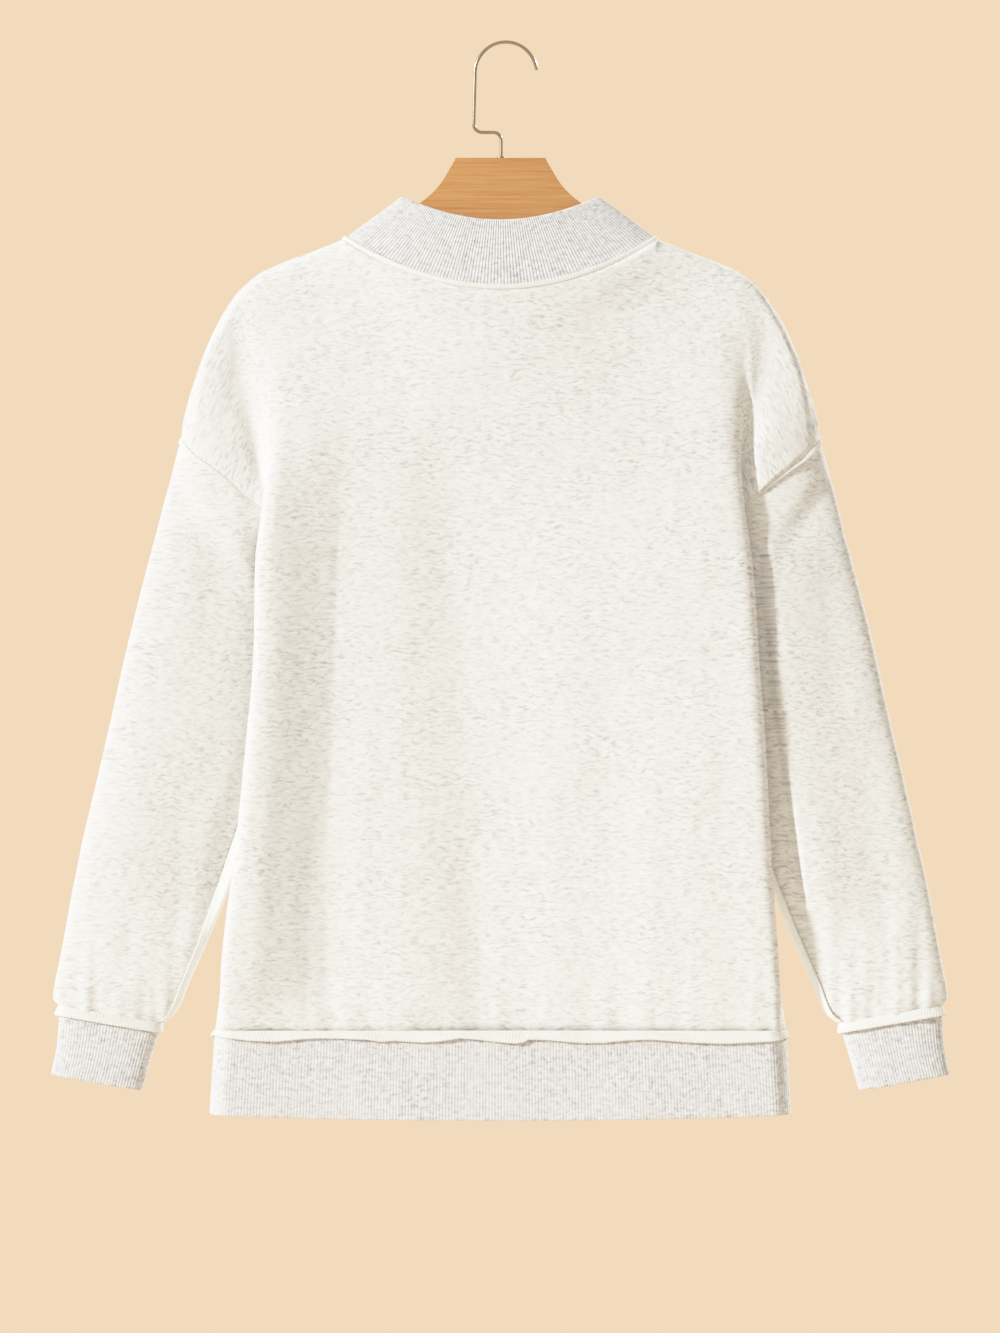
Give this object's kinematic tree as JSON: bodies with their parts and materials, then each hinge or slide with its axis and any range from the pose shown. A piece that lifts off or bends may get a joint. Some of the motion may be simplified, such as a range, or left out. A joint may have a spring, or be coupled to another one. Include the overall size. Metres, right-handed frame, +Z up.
{
  "type": "tunic sweatshirt on hanger",
  "caption": "Long drop-shoulder tunic sweatshirt with rib-knit collar, cuffs and hem and outside seams, hung with its back to the viewer on a flat wooden hanger with a wire hook.",
  "frame": {"origin": "underside of the hook's arch, where it rests on a rail, straight above the centre line of the garment", "axes": "+Z up, +X to the right as the back of the garment is seen, +Y from the garment's back to its front"},
  "size_m": [0.7566, 0.0518, 0.9048],
  "materials": {
    "jersey": "matte fleece-backed jersey, cream with pale grey flecks",
    "rib": "matte rib knit, cream with pale grey flecks",
    "seam": "matte overlocked cut edge",
    "wood": "satin varnished, orange tan",
    "steel": "polished plated wire"
  },
  "bodies": {
    "root": {"back_panel": "jersey", "front_panel": "jersey", "left_sleeve": "jersey", "right_sleeve": "jersey", "rib_collar": "rib", "rib_hem_band": "rib", "left_rib_cuff": "rib", "right_rib_cuff": "rib", "neck_seam_allowance": "seam", "hem_seam_allowance": "seam", "left_armhole_allowance": "seam", "left_underarm_allowance": "seam", "left_side_seam_allowance": "seam", "left_shoulder_seam_allowance": "seam", "left_cuff_seam_allowance": "seam", "right_armhole_allowance": "seam", "right_underarm_allowance": "seam", "right_side_seam_allowance": "seam", "right_shoulder_seam_allowance": "seam", "right_cuff_seam_allowance": "seam", "hanger_wood": "wood", "hook_wire": "steel"}
  },
  "joints": []
}
